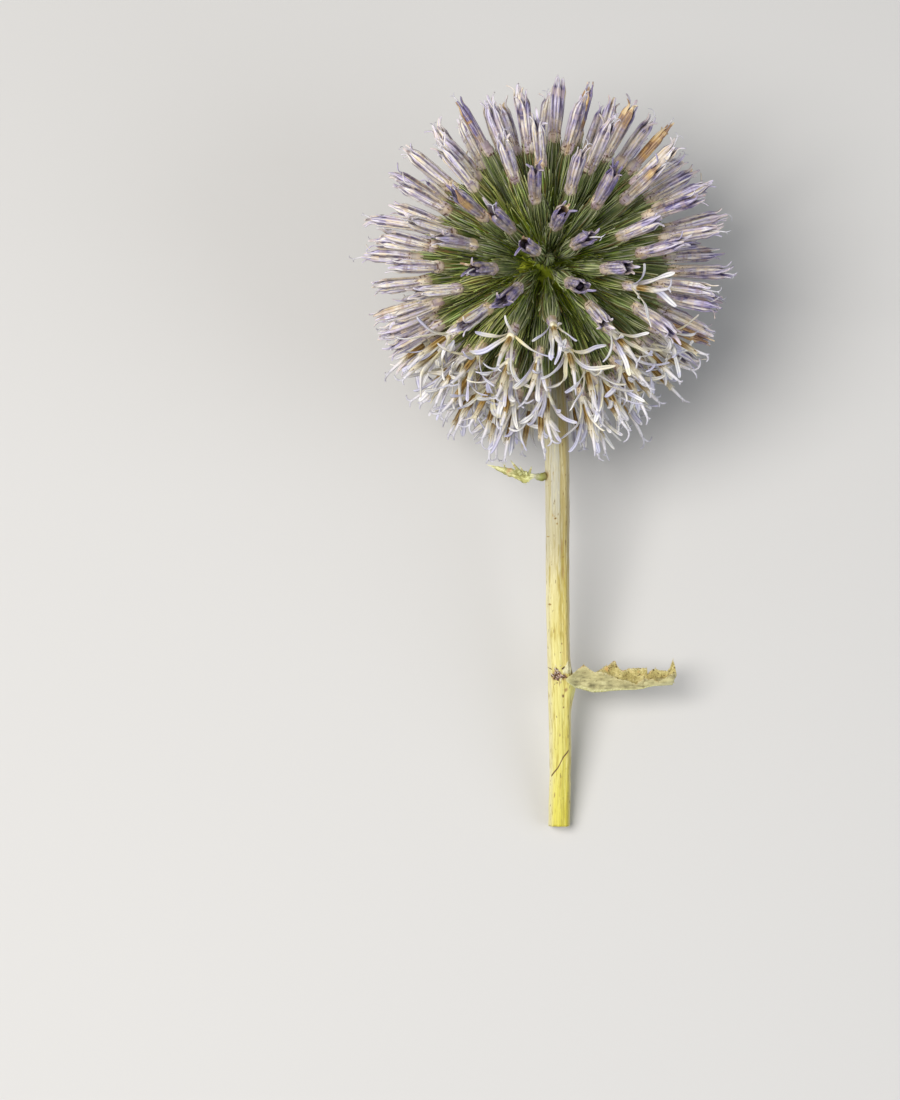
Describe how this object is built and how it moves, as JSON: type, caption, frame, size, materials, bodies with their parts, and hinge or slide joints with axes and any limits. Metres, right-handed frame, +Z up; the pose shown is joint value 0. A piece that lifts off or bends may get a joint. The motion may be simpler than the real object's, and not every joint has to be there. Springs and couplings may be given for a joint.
{
  "type": "dried globe thistle flower head",
  "caption": "Dried globe thistle: a round head of radiating florets, closed on top and open below, on a short cut stem with a folded leaf, lying on its side.",
  "frame": {"origin": "on the surface that the flower lies on, under the middle of its bounding box", "axes": "+Z up from the surface; +Y along the flower from the stem's cut end towards the head; +X towards the folded leaf's side"},
  "size_m": [0.0556, 0.1076, 0.0532],
  "materials": {
    "floret": "matte",
    "husk": "matte",
    "anther": "matte",
    "stem": "matte",
    "leaf": "matte",
    "bract": "matte"
  },
  "bodies": {
    "root": {"head": "floret", "stem": "stem", "leaf": "leaf", "bract": "bract"}
  },
  "joints": []
}
